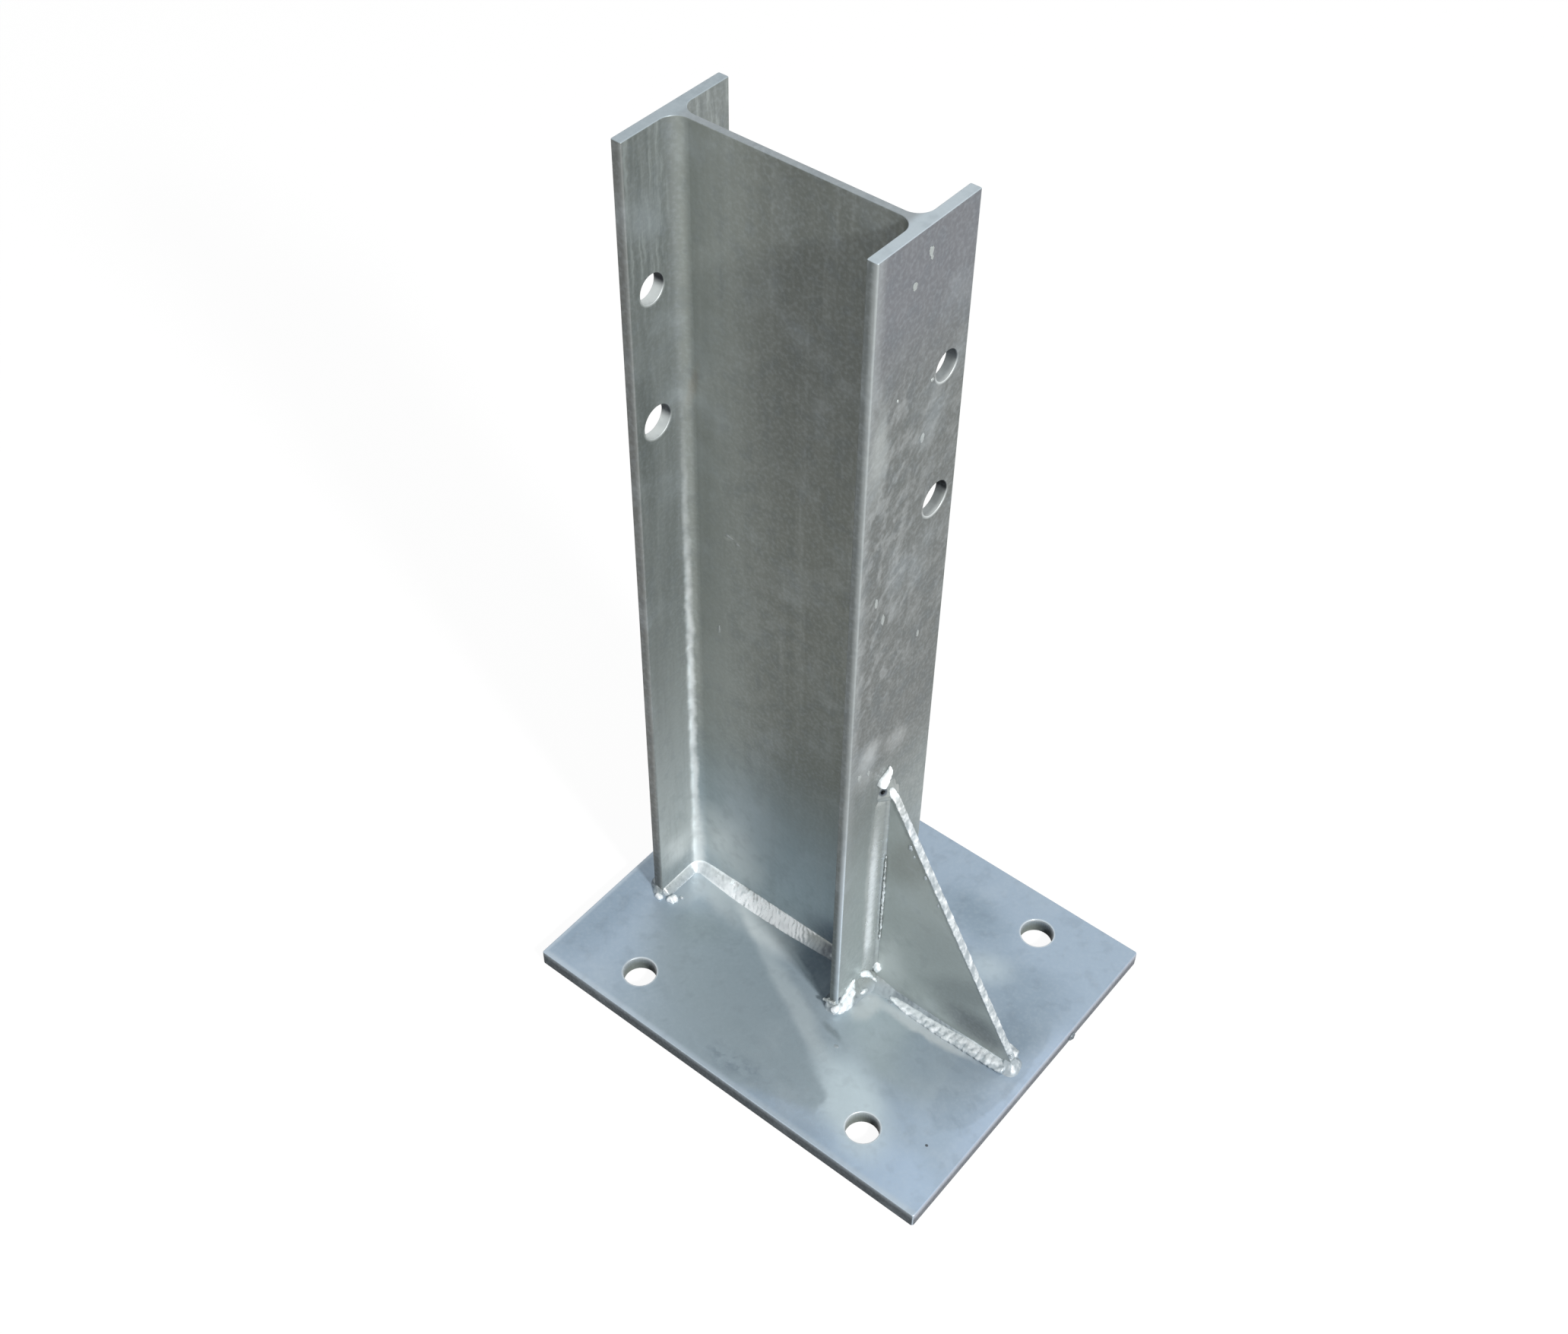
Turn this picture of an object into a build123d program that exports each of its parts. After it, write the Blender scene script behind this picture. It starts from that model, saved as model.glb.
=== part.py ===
from build123d import *
import os
from math import hypot, sqrt

# Base plate, lying on its underside with the origin under its centre
plate_length = 390.0
plate_width = 320.0
plate_thickness = 15.0
plate_corner_radius = 2.5
plate_edge_round = 1.2
anchor_spacing_x = 235.0
anchor_spacing_y = 245.0
anchor_hole = 28.0
anchor_rim_round = 0.8

# Rolled H section: depth over the flanges along X, flanges across Y
section_depth = 200.0
flange_width = 100.0
flange_thickness = 8.5
web_thickness = 5.6
root_radius = 12.0
flange_tip_round = 1.2
post_length = 730.0
post_edge_margin = 30.0
cut_end_round = 0.8

# Bolt holes through the flanges, on opposite halves of the two flanges
upper_bolt_hole = 22.0
lower_bolt_hole = 26.0
upper_hole_drop = 115.0
bolt_hole_pitch = 108.0
bolt_line_offset = 28.5
bolt_rim_round = 0.6

# Triangular stiffener in line with the web, its two tips cut square
gusset_edge_margin = 19.0
gusset_height = 238.0
gusset_thickness = 6.0
gusset_nose = 8.0
gusset_edge_round = 0.6

# Fillet welds: how far each reaches out over one wall and rises on the other, and the crown's height
channel_weld_reach = 10.0
channel_weld_rise = 9.0
flange_weld_reach = 10.0
flange_weld_rise = 16.0
gusset_foot_reach = 9.0
gusset_foot_rise = 6.0
gusset_upright_reach = 12.0
gusset_upright_rise = 6.5
weld_crown = 0.9

# Places worked out from the sizes above
plate_top = plate_thickness
post_top = plate_top + post_length
plain_face_x = -plate_length / 2 + post_edge_margin
gusset_face_x = plain_face_x + section_depth
post_x = (plain_face_x + gusset_face_x) / 2
flange_tip_y = flange_width / 2
gusset_side_y = gusset_thickness / 2
gusset_toe_x = plate_length / 2 - gusset_edge_margin
gusset_top_z = plate_top + gusset_height
drill_overrun = plate_thickness
quarter_turn = 90.0

along_x = Vector(1, 0, 0)
along_y = Vector(0, 1, 0)
upward = Vector(0, 0, 1)


def hole_cutter(diameter, depth, rim_round):
    """A drill from z = 0 to z = depth whose two mouths open out in a quarter round."""
    radius = diameter / 2
    mouth = radius + rim_round
    waist = mouth - rim_round / sqrt(2)
    dip = rim_round - rim_round / sqrt(2)
    with BuildPart() as cutter:
        with BuildSketch(Plane.XZ):
            with BuildLine():
                Polyline((mouth, 0), (mouth, -drill_overrun), (0, -drill_overrun),
                         (0, depth + drill_overrun), (mouth, depth + drill_overrun), (mouth, depth))
                ThreePointArc((mouth, depth), (waist, depth - dip), (radius, depth - rim_round))
                Line((radius, depth - rim_round), (radius, rim_round))
                ThreePointArc((radius, rim_round), (waist, dip), (mouth, 0))
            make_face()
        revolve(axis=Axis.Z)
    return cutter.part


def base_plate():
    """A flat plate with soft edges and an anchor hole near each corner."""
    with BuildPart() as plate:
        with BuildSketch():
            RectangleRounded(plate_length, plate_width, plate_corner_radius)
        extrude(amount=plate_thickness)
        levels = plate.edges().group_by(Axis.Z)
        fillet(levels[0] + levels[-1], plate_edge_round)
        with GridLocations(anchor_spacing_x, anchor_spacing_y, 2, 2):
            add(hole_cutter(anchor_hole, plate_thickness, anchor_rim_round), mode=Mode.SUBTRACT)
    return plate.part


def section_outline():
    """The rolled profile: two flanges and a web, fillets at the roots and soft flange tips."""
    channel_width = section_depth - 2 * flange_thickness
    channel_depth = (flange_width - web_thickness) / 2
    with BuildSketch() as outline:
        Rectangle(section_depth, flange_width)
        with GridLocations(0, web_thickness + channel_depth, 1, 2):
            Rectangle(channel_width, channel_depth, mode=Mode.SUBTRACT)
        roots = [corner for corner in outline.vertices() if abs(corner.Y) < web_thickness]
        fillet(roots, root_radius)
        at_tips = flange_tip_y - flange_tip_round
        tips = [corner for corner in outline.vertices() if abs(corner.Y) > at_tips]
        fillet(tips, flange_tip_round)
    return outline.sketch


def h_post():
    """The sawn length of section standing on the plate, with two bolt holes in each flange."""
    with BuildPart() as post:
        with BuildSketch(Plane.XY.offset(plate_top)):
            with Locations((post_x, 0)):
                add(section_outline())
        extrude(amount=post_length)
        sawn_face = post.faces().sort_by(Axis.Z)[-1]
        fillet(sawn_face.outer_wire().edges(), cut_end_round)
        upper_z = post_top - upper_hole_drop
        lower_z = upper_z - bolt_hole_pitch
        for start_x, side in ((plain_face_x, -1), (gusset_face_x - flange_thickness, 1)):
            for diameter, height in ((upper_bolt_hole, upper_z), (lower_bolt_hole, lower_z)):
                centre = Vector(start_x, side * bolt_line_offset, height)
                with Locations(Plane(origin=centre, z_dir=along_x)):
                    add(hole_cutter(diameter, flange_thickness, bolt_rim_round), mode=Mode.SUBTRACT)
    return post.part


def gusset():
    """A right-angled stiffener against the flange, its sloping edge softened."""
    with BuildPart() as stiffener:
        with BuildSketch(Plane.XZ.offset(-gusset_side_y)):
            with BuildLine():
                Polyline((gusset_face_x, plate_top), (gusset_toe_x, plate_top),
                         (gusset_toe_x, plate_top + gusset_nose),
                         (gusset_face_x + gusset_nose, gusset_top_z),
                         (gusset_face_x, gusset_top_z), close=True)
            make_face()
        extrude(amount=gusset_thickness)
        sloping_edges = stiffener.edges().sort_by(SortBy.LENGTH)[-2:]
        fillet(sloping_edges, gusset_edge_round)
    return stiffener.part


def bead_section(root, run, out, reach, rise):
    """Cross-section of a fillet weld: a right triangle whose long side is a shallow arc.

    root is the point where the two walls meet and run the way the bead goes. The bead reaches along
    the wall that out points over, and rises along the wall that run x out points up.
    """
    slope = hypot(reach, rise)
    crown = (reach / 2 + weld_crown * rise / slope, rise / 2 + weld_crown * reach / slope)
    with BuildSketch(Plane(origin=root, x_dir=out, z_dir=run)) as section:
        with BuildLine():
            Polyline((0, rise), (0, 0), (reach, 0))
            ThreePointArc((reach, 0), crown, (0, rise))
        make_face()
    return section.sketch


def straight_bead(first, last, out, reach, rise):
    """A straight run of weld from first to last with flat ends."""
    run = (last - first).normalized()
    return extrude(bead_section(first, run, out, reach, rise), amount=(last - first).length, dir=run)


def bead_start(root, run, out, reach, rise):
    """The rounded start of a run: its section turned back about the root."""
    return revolve(bead_section(root, run, out, reach, rise), Axis(root, run.cross(out)), quarter_turn)


def bead_stop(root, run, out, reach, rise):
    """The rounded end of a run: its section turned on about the root."""
    return revolve(bead_section(root, run, out, reach, rise), Axis(root, out.cross(run)), quarter_turn)


def channel_weld():
    """One run inside the near channel: up one flange, round both roots and down the other flange."""
    size = (channel_weld_reach, channel_weld_rise)
    gusset_inner_x = gusset_face_x - flange_thickness
    plain_inner_x = plain_face_x + flange_thickness
    web_y = -web_thickness / 2
    end_y = -flange_tip_y + channel_weld_reach
    first = Vector(gusset_inner_x, end_y, plate_top)
    last = Vector(plain_inner_x, end_y, plate_top)
    with BuildLine() as path:
        FilletPolyline(first, (gusset_inner_x, web_y, plate_top), (plain_inner_x, web_y, plate_top), last,
                       radius=root_radius)
    bead = sweep(bead_section(first, along_y, -along_x, *size), path=path.wire())
    bead += bead_start(first, along_y, -along_x, *size)
    bead += bead_stop(last, -along_y, along_x, *size)
    return bead


def plain_flange_weld():
    """The run along the whole outside of the flange that has no stiffener."""
    size = (channel_weld_reach, channel_weld_rise)
    first = Vector(plain_face_x, -flange_tip_y + channel_weld_reach, plate_top)
    last = Vector(plain_face_x, flange_tip_y - channel_weld_reach, plate_top)
    bead = straight_bead(first, last, -along_x, *size)
    bead += bead_start(first, along_y, -along_x, *size)
    bead += bead_stop(last, along_y, -along_x, *size)
    return bead


def gusset_flange_weld():
    """The heavy run along the near half of the stiffened flange, from the stiffener to the tip."""
    size = (flange_weld_reach, flange_weld_rise)
    first = Vector(gusset_face_x, -gusset_side_y, plate_top)
    last = Vector(gusset_face_x, -flange_tip_y + flange_weld_reach, plate_top)
    bead = straight_bead(first, last, along_x, *size)
    bead += bead_stop(last, -along_y, along_x, *size)
    return bead


def gusset_foot_weld():
    """The run along the near foot of the stiffener, laid up against the flange's own run."""
    toe = Vector(gusset_toe_x, -gusset_side_y, plate_top)
    heel = Vector(gusset_face_x, -gusset_side_y, plate_top)
    bead = straight_bead(toe, heel, -along_y, gusset_foot_reach, gusset_foot_rise)
    return bead - gusset_flange_weld()


def gusset_toe_weld():
    """The run across the toe of the stiffener, turned back at both corners."""
    size = (gusset_foot_reach, gusset_foot_rise)
    far_corner = Vector(gusset_toe_x, gusset_side_y, plate_top)
    near_corner = Vector(gusset_toe_x, -gusset_side_y, plate_top)
    bead = straight_bead(far_corner, near_corner, along_x, *size)
    bead += bead_start(far_corner, -along_y, along_x, *size)
    bead += bead_stop(near_corner, -along_y, along_x, *size)
    return bead


def gusset_upright_weld():
    """The broad run up the near side of the stiffener, standing on the foot runs."""
    heel = Vector(gusset_face_x, -gusset_side_y, plate_top)
    head = Vector(gusset_face_x, -gusset_side_y, gusset_top_z)
    bead = straight_bead(heel, head, -along_y, gusset_upright_reach, gusset_upright_rise)
    return bead - gusset_flange_weld() - gusset_foot_weld()


def gusset_top_weld():
    """The run over the top of the stiffener, turned down at both corners."""
    size = (gusset_upright_reach, gusset_upright_rise)
    near_corner = Vector(gusset_face_x, -gusset_side_y, gusset_top_z)
    far_corner = Vector(gusset_face_x, gusset_side_y, gusset_top_z)
    bead = straight_bead(near_corner, far_corner, upward, *size)
    bead += bead_start(near_corner, along_y, upward, *size)
    bead += bead_stop(far_corner, along_y, upward, *size)
    return bead


def far_side(near_piece):
    """The matching piece on the far side of the web's middle plane."""
    return near_piece.mirror(Plane.XZ)


pieces = {
    "base_plate": base_plate(),
    "h_post": h_post(),
    "gusset": gusset(),
    "near_channel_weld": channel_weld(),
    "far_channel_weld": far_side(channel_weld()),
    "plain_flange_weld": plain_flange_weld(),
    "near_flange_weld": gusset_flange_weld(),
    "far_flange_weld": far_side(gusset_flange_weld()),
    "near_gusset_foot_weld": gusset_foot_weld(),
    "far_gusset_foot_weld": far_side(gusset_foot_weld()),
    "gusset_toe_weld": gusset_toe_weld(),
    "near_gusset_upright_weld": gusset_upright_weld(),
    "far_gusset_upright_weld": far_side(gusset_upright_weld()),
    "gusset_top_weld": gusset_top_weld(),
}

os.makedirs("parts", exist_ok=True)
for node, solid in pieces.items():
    export_step(solid, f"parts/{node}.step")
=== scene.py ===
# %% [markdown]
# # A galvanised post bracket
# The real object is a short length of rolled H section, stood on a drilled plate and welded all round its
# foot. One triangular stiffener props the outside of one flange. The whole thing was then dipped in molten
# zinc, so every surface carries the same thin, dull, cloudy skin. The shapes of the plate, the section and the
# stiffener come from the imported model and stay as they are. This file gives them their zinc, and puts rippled,
# lumpy weld beads and zinc runs where the model has only smooth ones.

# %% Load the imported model
import math

import bmesh
import bpy
import numpy as np
from mathutils import Matrix, Vector


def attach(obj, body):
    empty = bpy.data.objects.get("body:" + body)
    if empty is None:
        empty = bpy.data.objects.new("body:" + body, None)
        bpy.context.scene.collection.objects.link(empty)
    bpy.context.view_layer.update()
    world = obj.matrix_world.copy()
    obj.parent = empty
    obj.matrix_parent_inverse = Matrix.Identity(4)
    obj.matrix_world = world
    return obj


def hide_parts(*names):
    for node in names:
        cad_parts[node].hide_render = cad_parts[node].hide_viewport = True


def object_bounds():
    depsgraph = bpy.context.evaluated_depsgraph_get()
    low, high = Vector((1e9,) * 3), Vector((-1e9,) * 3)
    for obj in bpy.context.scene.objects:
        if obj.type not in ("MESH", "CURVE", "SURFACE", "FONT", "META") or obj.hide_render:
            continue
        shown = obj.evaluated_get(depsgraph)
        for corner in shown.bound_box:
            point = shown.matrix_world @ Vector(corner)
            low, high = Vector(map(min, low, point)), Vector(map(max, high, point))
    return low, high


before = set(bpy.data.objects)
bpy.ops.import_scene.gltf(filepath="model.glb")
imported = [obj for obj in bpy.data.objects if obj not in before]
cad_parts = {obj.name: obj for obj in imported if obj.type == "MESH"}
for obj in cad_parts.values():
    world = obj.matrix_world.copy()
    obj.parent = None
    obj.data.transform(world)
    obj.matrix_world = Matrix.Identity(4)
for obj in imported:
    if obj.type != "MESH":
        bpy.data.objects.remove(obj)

solid_low, solid_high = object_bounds()
scene = bpy.context.scene
MM = 0.001
print("solids", len(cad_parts), "box", [round(v, 4) for v in (*solid_low, *solid_high)])

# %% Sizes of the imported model, in mm
PLATE_RIGHT, PLATE_FRONT, PLATE_TOP = 195, -160, 15
ANCHOR_X, ANCHOR_Y, ANCHOR_RADIUS = 117.5, 122.5, 14
OUTER_LEFT, INNER_LEFT, INNER_RIGHT, OUTER_RIGHT = -165, -156.5, 26.5, 35  # the flanges' faces
WEB_FACE, ROOT_RADIUS, FLANGE_TIP, POST_TOP = 2.8, 12, 50, 745
BOLT_HOLES, BOLT_Y = ((630, 11), (522, 13)), 28.5  # height and radius, and how far off the web
GUSSET_FACE, GUSSET_TOE, GUSSET_TOP = 3, 176, 253
EAST, NORTH, WEST, SOUTH, SKYWARD = (1, 0, 0), (0, 1, 0), (-1, 0, 0), (0, -1, 0), (0, 0, 1)
print("post", POST_TOP - PLATE_TOP, "mm on a plate", 2 * PLATE_RIGHT, "by", -2 * PLATE_FRONT, "mm")

# %% [markdown]
# ## The camera
# The photograph looks down on the bracket from its front right. A camera is a place, a direction and a lens, so
# it could be keyed in by eye, or worked out. Here it is given the way a surveyor would: the point it looks at,
# how far round and how high it stands, and how far off. A small turn about its own axis stands for a camera that
# was not held quite level. The lens shift moves the picture in its frame, as the photograph was cropped.

# %% Camera
PHOTO_WIDTH, PHOTO_HEIGHT = 2063, 1755
AIM = Vector((78.754, -179.067, 504.225)) * MM
ROUND, HEIGHT, LEAN = (math.radians(a) for a in (38.0973, 47.8392, 1.1119))
DISTANCE = 1182.556 * MM
FOCAL_PIXELS, CENTRE_X, CENTRE_Y = 2601.493, 1035.98, 958.94
FILM_WIDTH = 36

back = Vector((math.sin(ROUND) * math.cos(HEIGHT), -math.cos(ROUND) * math.cos(HEIGHT), math.sin(HEIGHT)))
level_right = (-back).cross(Vector((0, 0, 1))).normalized()
level_up = level_right.cross(-back)
right = level_right * math.cos(LEAN) + level_up * math.sin(LEAN)
up = level_up * math.cos(LEAN) - level_right * math.sin(LEAN)

lens = bpy.data.cameras.new("camera")
lens.sensor_width = FILM_WIDTH
lens.lens = FOCAL_PIXELS / PHOTO_WIDTH * FILM_WIDTH
lens.shift_x = (PHOTO_WIDTH / 2 - CENTRE_X) / PHOTO_WIDTH
lens.shift_y = (CENTRE_Y - PHOTO_HEIGHT / 2) / PHOTO_WIDTH
camera = bpy.data.objects.new("camera", lens)
camera.matrix_world = Matrix.Translation(AIM + back * DISTANCE) @ Matrix((right, up, back)).transposed().to_4x4()
scene.collection.objects.link(camera)
scene.camera = camera
scene.view_settings.view_transform = "Standard"
print("lens", round(lens.lens, 2), "mm, shift", round(lens.shift_x, 4), round(lens.shift_y, 4))

# %% [markdown]
# ## Small helpers for node trees
# Every finish here is a tree of shader nodes. Wiring them one by one is long and hard to read, so a few helpers
# stand for the things a finisher would ask for: a noise of a given size, a soft step, a stain of one colour at
# one place. Colours are written as they show on a screen, 0 to 255, and turned into the linear light that the
# renderer counts in.

# %% Helpers for node trees
def screen_colour(red, green, blue):
    """The linear colour of a screen colour: v / 12.92 below 0.04045, else ((v + 0.055) / 1.055) to the 2.4."""
    v = np.array((red, green, blue), float) / 255
    linear = np.where(v < 0.04045, v / 12.92, ((v + 0.055) / 1.055) ** 2.4)
    return (*(float(c) for c in linear), 1)


def add(kind, inputs=(), tree=None, **settings):
    """A new node of that kind, in a given tree or else in that of the sockets among its inputs. A socket is
    linked, and any other value is set."""
    tree = tree or next(v.id_data for v in inputs.values() if isinstance(v, bpy.types.NodeSocket))
    node = tree.nodes.new(kind)
    for key, value in settings.items():
        setattr(node, key, value)
    for key, value in dict(inputs).items():
        if isinstance(value, bpy.types.NodeSocket):
            tree.links.new(value, node.inputs[key])
        else:
            node.inputs[key].default_value = value
    return node


def sum_of(operation, a, b=0):
    """One operation on two numbers or sockets."""
    return add("ShaderNodeMath", {0: a, 1: b}, operation=operation).outputs[0]


def product(value, *others):
    """All these numbers or sockets, multiplied."""
    for other in others:
        value = sum_of("MULTIPLY", value, other)
    return value


def axes(place):
    """The x, y and z of a place, as sockets."""
    return add("ShaderNodeSeparateXYZ", {0: place}).outputs


def length_of(offset):
    """How long a vector is."""
    return add("ShaderNodeVectorMath", {0: offset}, operation="LENGTH").outputs["Value"]


def soft_step(value, low, high, start=0, end=1):
    """start below low, end above high, and a smooth rise between them."""
    inputs = {0: value, 1: low, 2: high, 3: start, 4: end}
    return add("ShaderNodeMapRange", inputs, interpolation_type="SMOOTHSTEP").outputs[0]


def fade(axis, low, high, start=0, end=1):
    """A soft step along one axis, between two places in mm."""
    return soft_step(axis, low * MM, high * MM, start, end)


def between(axis, low, rise, fall, high):
    """1 from rise to fall along one axis, and 0 below low and above high, in mm."""
    return product(fade(axis, low, rise), fade(axis, fall, high, 1, 0))


def tint(share, under, over):
    """under, with that share of over laid on it. Each is a socket, or three numbers of a screen colour."""
    under, over = (screen_colour(*c) if isinstance(c, tuple) else c for c in (under, over))
    return add("ShaderNodeMix", {0: share, 6: under, 7: over}, data_type="RGBA").outputs[2]


def measured_from(place, centre, size, turn=0):
    """The place counted from a centre, along turned axes, in units of size, in millimetres and degrees. Each is
    three numbers, or one for all axes."""
    centre, size, turn = (np.broadcast_to(v, 3) for v in (centre, size, turn))
    inputs = {0: place, 1: centre * MM, 2: np.radians(turn), 3: size * MM}
    return add("ShaderNodeMapping", inputs, vector_type="TEXTURE").outputs[0]


def clouds(place, size, detail, roughness=0.55, turn=0):
    """A noise from 0 to 1 with forms about size millimetres."""
    inputs = {0: measured_from(place, 0, size, turn), 2: 1, 3: detail, 4: roughness}
    return add("ShaderNodeTexNoise", inputs).outputs[0]


def wavy(place, size, depth):
    """The place, pushed about by a noise of that size, so that what is painted there has a wandering edge."""
    noise = add("ShaderNodeTexNoise", {0: place, 2: 1 / (size * MM), 3: 3}).outputs[1]
    centred = add("ShaderNodeVectorMath", {0: noise, 1: (0.5, 0.5, 0.5)}, operation="SUBTRACT").outputs[0]
    inputs = {0: centred, 1: (2 * depth * MM,) * 3, 2: place}
    return add("ShaderNodeVectorMath", inputs, operation="MULTIPLY_ADD").outputs[0]


def stain(place, under, colour, centre, size, turn, core, strength):
    """under, with an oval stain: full inside core of its radii, fading to nothing at them."""
    offset = measured_from(place, centre, size, turn)
    return tint(soft_step(length_of(offset), core, 1, strength, 0), under, colour)


def stains(under, marks):
    """under, with the stains of a table laid on it in turn: place, colour, centre, size, turn, core, strength."""
    for place, *mark in marks:
        under = stain(place, under, *mark)
    return under


def flecks(under, noise, zone, *tones):
    """under, with tones laid where a noise is high or low in a zone. A tone is a colour and its soft step."""
    for colour, *steps in tones:
        under = tint(product(zone, soft_step(noise, *steps)), under, colour)
    return under


def ahead(place, point, heading, soft):
    """1 left of a line on the plate's top, through a point in mm with a heading in degrees, and 0 right of it."""
    left = axes(measured_from(place, (*point, PLATE_TOP), 1, (0, 0, heading)))[1]
    return soft_step(left, -soft / 2, soft / 2)


print("helpers ready")

# %% [markdown]
# ## Floor, sky and sun
# The photograph is cut out on white, but the bracket was plainly lit from its stiffener's side by one soft sun
# under an open sky. So there is one disc lamp there, large enough for soft shadow edges, and an even sky. The
# floor and the sky show as white to the camera and to the zinc's reflections, and give far less light to matt
# surfaces, so that white never washes the object out. The floor keeps a share of its matt shade for the shadow.

# %% Floor
def seen_by_eye(tree):
    """1 for a ray from the camera, off a gloss or through glass, and 0 for the rest."""
    path = add("ShaderNodeLightPath", tree=tree)
    glossy = sum_of("MAXIMUM", path.outputs["Is Camera Ray"], path.outputs["Is Glossy Ray"])
    return sum_of("MAXIMUM", glossy, path.outputs["Is Transmission Ray"])


FLOOR_SIZE, FLOOR_MATT, FLOOR_SHADE, FLOOR_WHITE = 14, 0.5, 0.1, 0.93
floor_mesh = bpy.data.meshes.new("floor")
corners = FLOOR_SIZE / 2 * np.array([(-1, -1, 0), (1, -1, 0), (1, 1, 0), (-1, 1, 0)], float)
floor_mesh.from_pydata(corners, [], [(0, 1, 2, 3)])
floor = bpy.data.objects.new("floor", floor_mesh)
scene.collection.objects.link(floor)

floor_finish = bpy.data.materials.new("pale_floor")
floor_finish.use_nodes = True
tree = floor_finish.node_tree
tree.nodes.clear()
plain = add("ShaderNodeBsdfDiffuse", {0: (*(FLOOR_MATT,) * 3, 1)}, tree)
shade = add("ShaderNodeBsdfDiffuse", {0: (*(FLOOR_SHADE,) * 3, 1)}, tree)
white = add("ShaderNodeEmission", {0: (1, 1, 1, 1), 1: FLOOR_WHITE}, tree)
shown = add("ShaderNodeAddShader", {0: shade.outputs[0], 1: white.outputs[0]})
both = add("ShaderNodeMixShader", {0: seen_by_eye(tree), 1: plain.outputs[0], 2: shown.outputs[0]})
add("ShaderNodeOutputMaterial", {0: both.outputs[0]})
floor_mesh.materials.append(floor_finish)
print("floor", FLOOR_SIZE, "m")

# %% Sky and sun
SKY_LIGHT, SUN_WATTS, SUN_ACROSS, SUN_AWAY = 0.5, 85, 0.36, 3
SUN_FROM = Vector((0.75, -0.25, 0.61)).normalized()

scene.world = bpy.data.worlds.new("sky")
scene.world.use_nodes = True
tree = scene.world.node_tree
strength = soft_step(seen_by_eye(tree), 0, 1, SKY_LIGHT, 1)
sky = tree.nodes["Background"]
sky.inputs[0].default_value = (1, 1, 1, 1)
tree.links.new(strength, sky.inputs[1])

lamp = bpy.data.lights.new("sun_disc", "AREA")
lamp.shape, lamp.size, lamp.energy = "DISK", SUN_ACROSS, SUN_WATTS
sun = bpy.data.objects.new("sun_disc", lamp)
sun.location = Vector((0, 0, 0.3)) + SUN_FROM * SUN_AWAY
sun.rotation_euler = (-SUN_FROM).to_track_quat("-Z", "Y").to_euler()
scene.collection.objects.link(sun)
print("sun from", [round(v, 2) for v in SUN_FROM])

# %% [markdown]
# ## Zinc
# Hot-dip zinc that has gone dull is neither paint nor bright metal: it scatters light like chalk and mirrors it
# like worn pewter at once. A part-metallic surface of middling roughness gives that. Its colour is a plain grey
# with clouds of three sizes, from hand-wide to grain, and the same clouds drive its roughness, because the
# pale crystals are also the smoother ones. What is painted on top differs from face to face.

# %% The zinc finish
METAL, NO_RELIEF = 0.35, 0


def zinc(name, paint, rough, wave):
    """A zinc finish. paint(place) gives its colour and a mask, or None, of where it has no shine at all. Its
    roughness runs from the first of rough on pale crystals to the second. The bump is wave mm of slow relief,
    and is left out where wave is NO_RELIEF."""
    finish = bpy.data.materials.new(name)
    finish.use_nodes = True
    tree = finish.node_tree
    surface = tree.nodes["Principled BSDF"]
    place = add("ShaderNodeTexCoord", tree=tree).outputs["Object"]
    slow, middle, fine = clouds(place, 55, 4), clouds(place, 13, 2), clouds(place, 3.2, 1)
    colour, dull = paint(place)
    dark, pale = (104, 114, 122), (196, 207, 214)
    colour = tint(soft_step(slow, 0.5, 0.8, 0, 0.22), colour, pale)
    colour = tint(soft_step(middle, 0.3, 0.5, 0.14, 0), colour, dark)
    colour = tint(soft_step(fine, 0.4, 0.75, 0, 0.08), colour, pale)
    tree.links.new(colour, surface.inputs["Base Color"])
    surface.inputs["Metallic"].default_value = METAL
    if dull:
        tree.links.new(soft_step(dull, 0, 1, METAL, 0), surface.inputs["Metallic"])
        tree.links.new(soft_step(dull, 0, 1, 0.5, 0.02), surface.inputs["Specular IOR Level"])
    mixed = sum_of("ADD", product(middle, 0.6), product(fine, 0.4))
    tree.links.new(soft_step(mixed, 0.35, 0.65, rough[1], rough[0]), surface.inputs["Roughness"])
    if wave != NO_RELIEF:
        height = product(middle, wave * MM)
        bump = add("ShaderNodeBump", {"Height": height, "Strength": 1, "Distance": 1})
        tree.links.new(bump.outputs[0], surface.inputs["Normal"])
    return finish


def dress(node, finish):
    """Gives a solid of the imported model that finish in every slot."""
    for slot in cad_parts[node].material_slots:
        slot.material = finish
    print(node, "wears", finish.name)


# %% [markdown]
# ## The plate
# The plate is bluish round its rim and greyer near the post. Clouds with wandering edges lie on it: a large dull
# lens in front of the post, which is a painted reflection of the post, a paler band and a lighter strip by the
# web's foot, which are painted light thrown off the web and the flanges, a pale pool beside them, and a dull field
# that ends in an arc near the right edge. Each is one oval stain, laid over the last like a wash. The shadow of
# the stiffener's flange on the plate is painted in as well. The edges and hole rims carry pale painted
# highlights, the hole walls painted shade, and the sawn rim is painted dark in front as shade.

# %% Plate colours
def on_top(marks):
    """Stains of the plate's top from a flat table: centre and size are x and y, and turn is one number. Each
    reaches 40 mm deep, so that it colours the plate's whole thickness."""
    return [(place, colour, (*centre, PLATE_TOP), (*size, 40), (0, 0, turn), core, strength)
            for place, colour, centre, size, turn, core, strength in marks]


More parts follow.
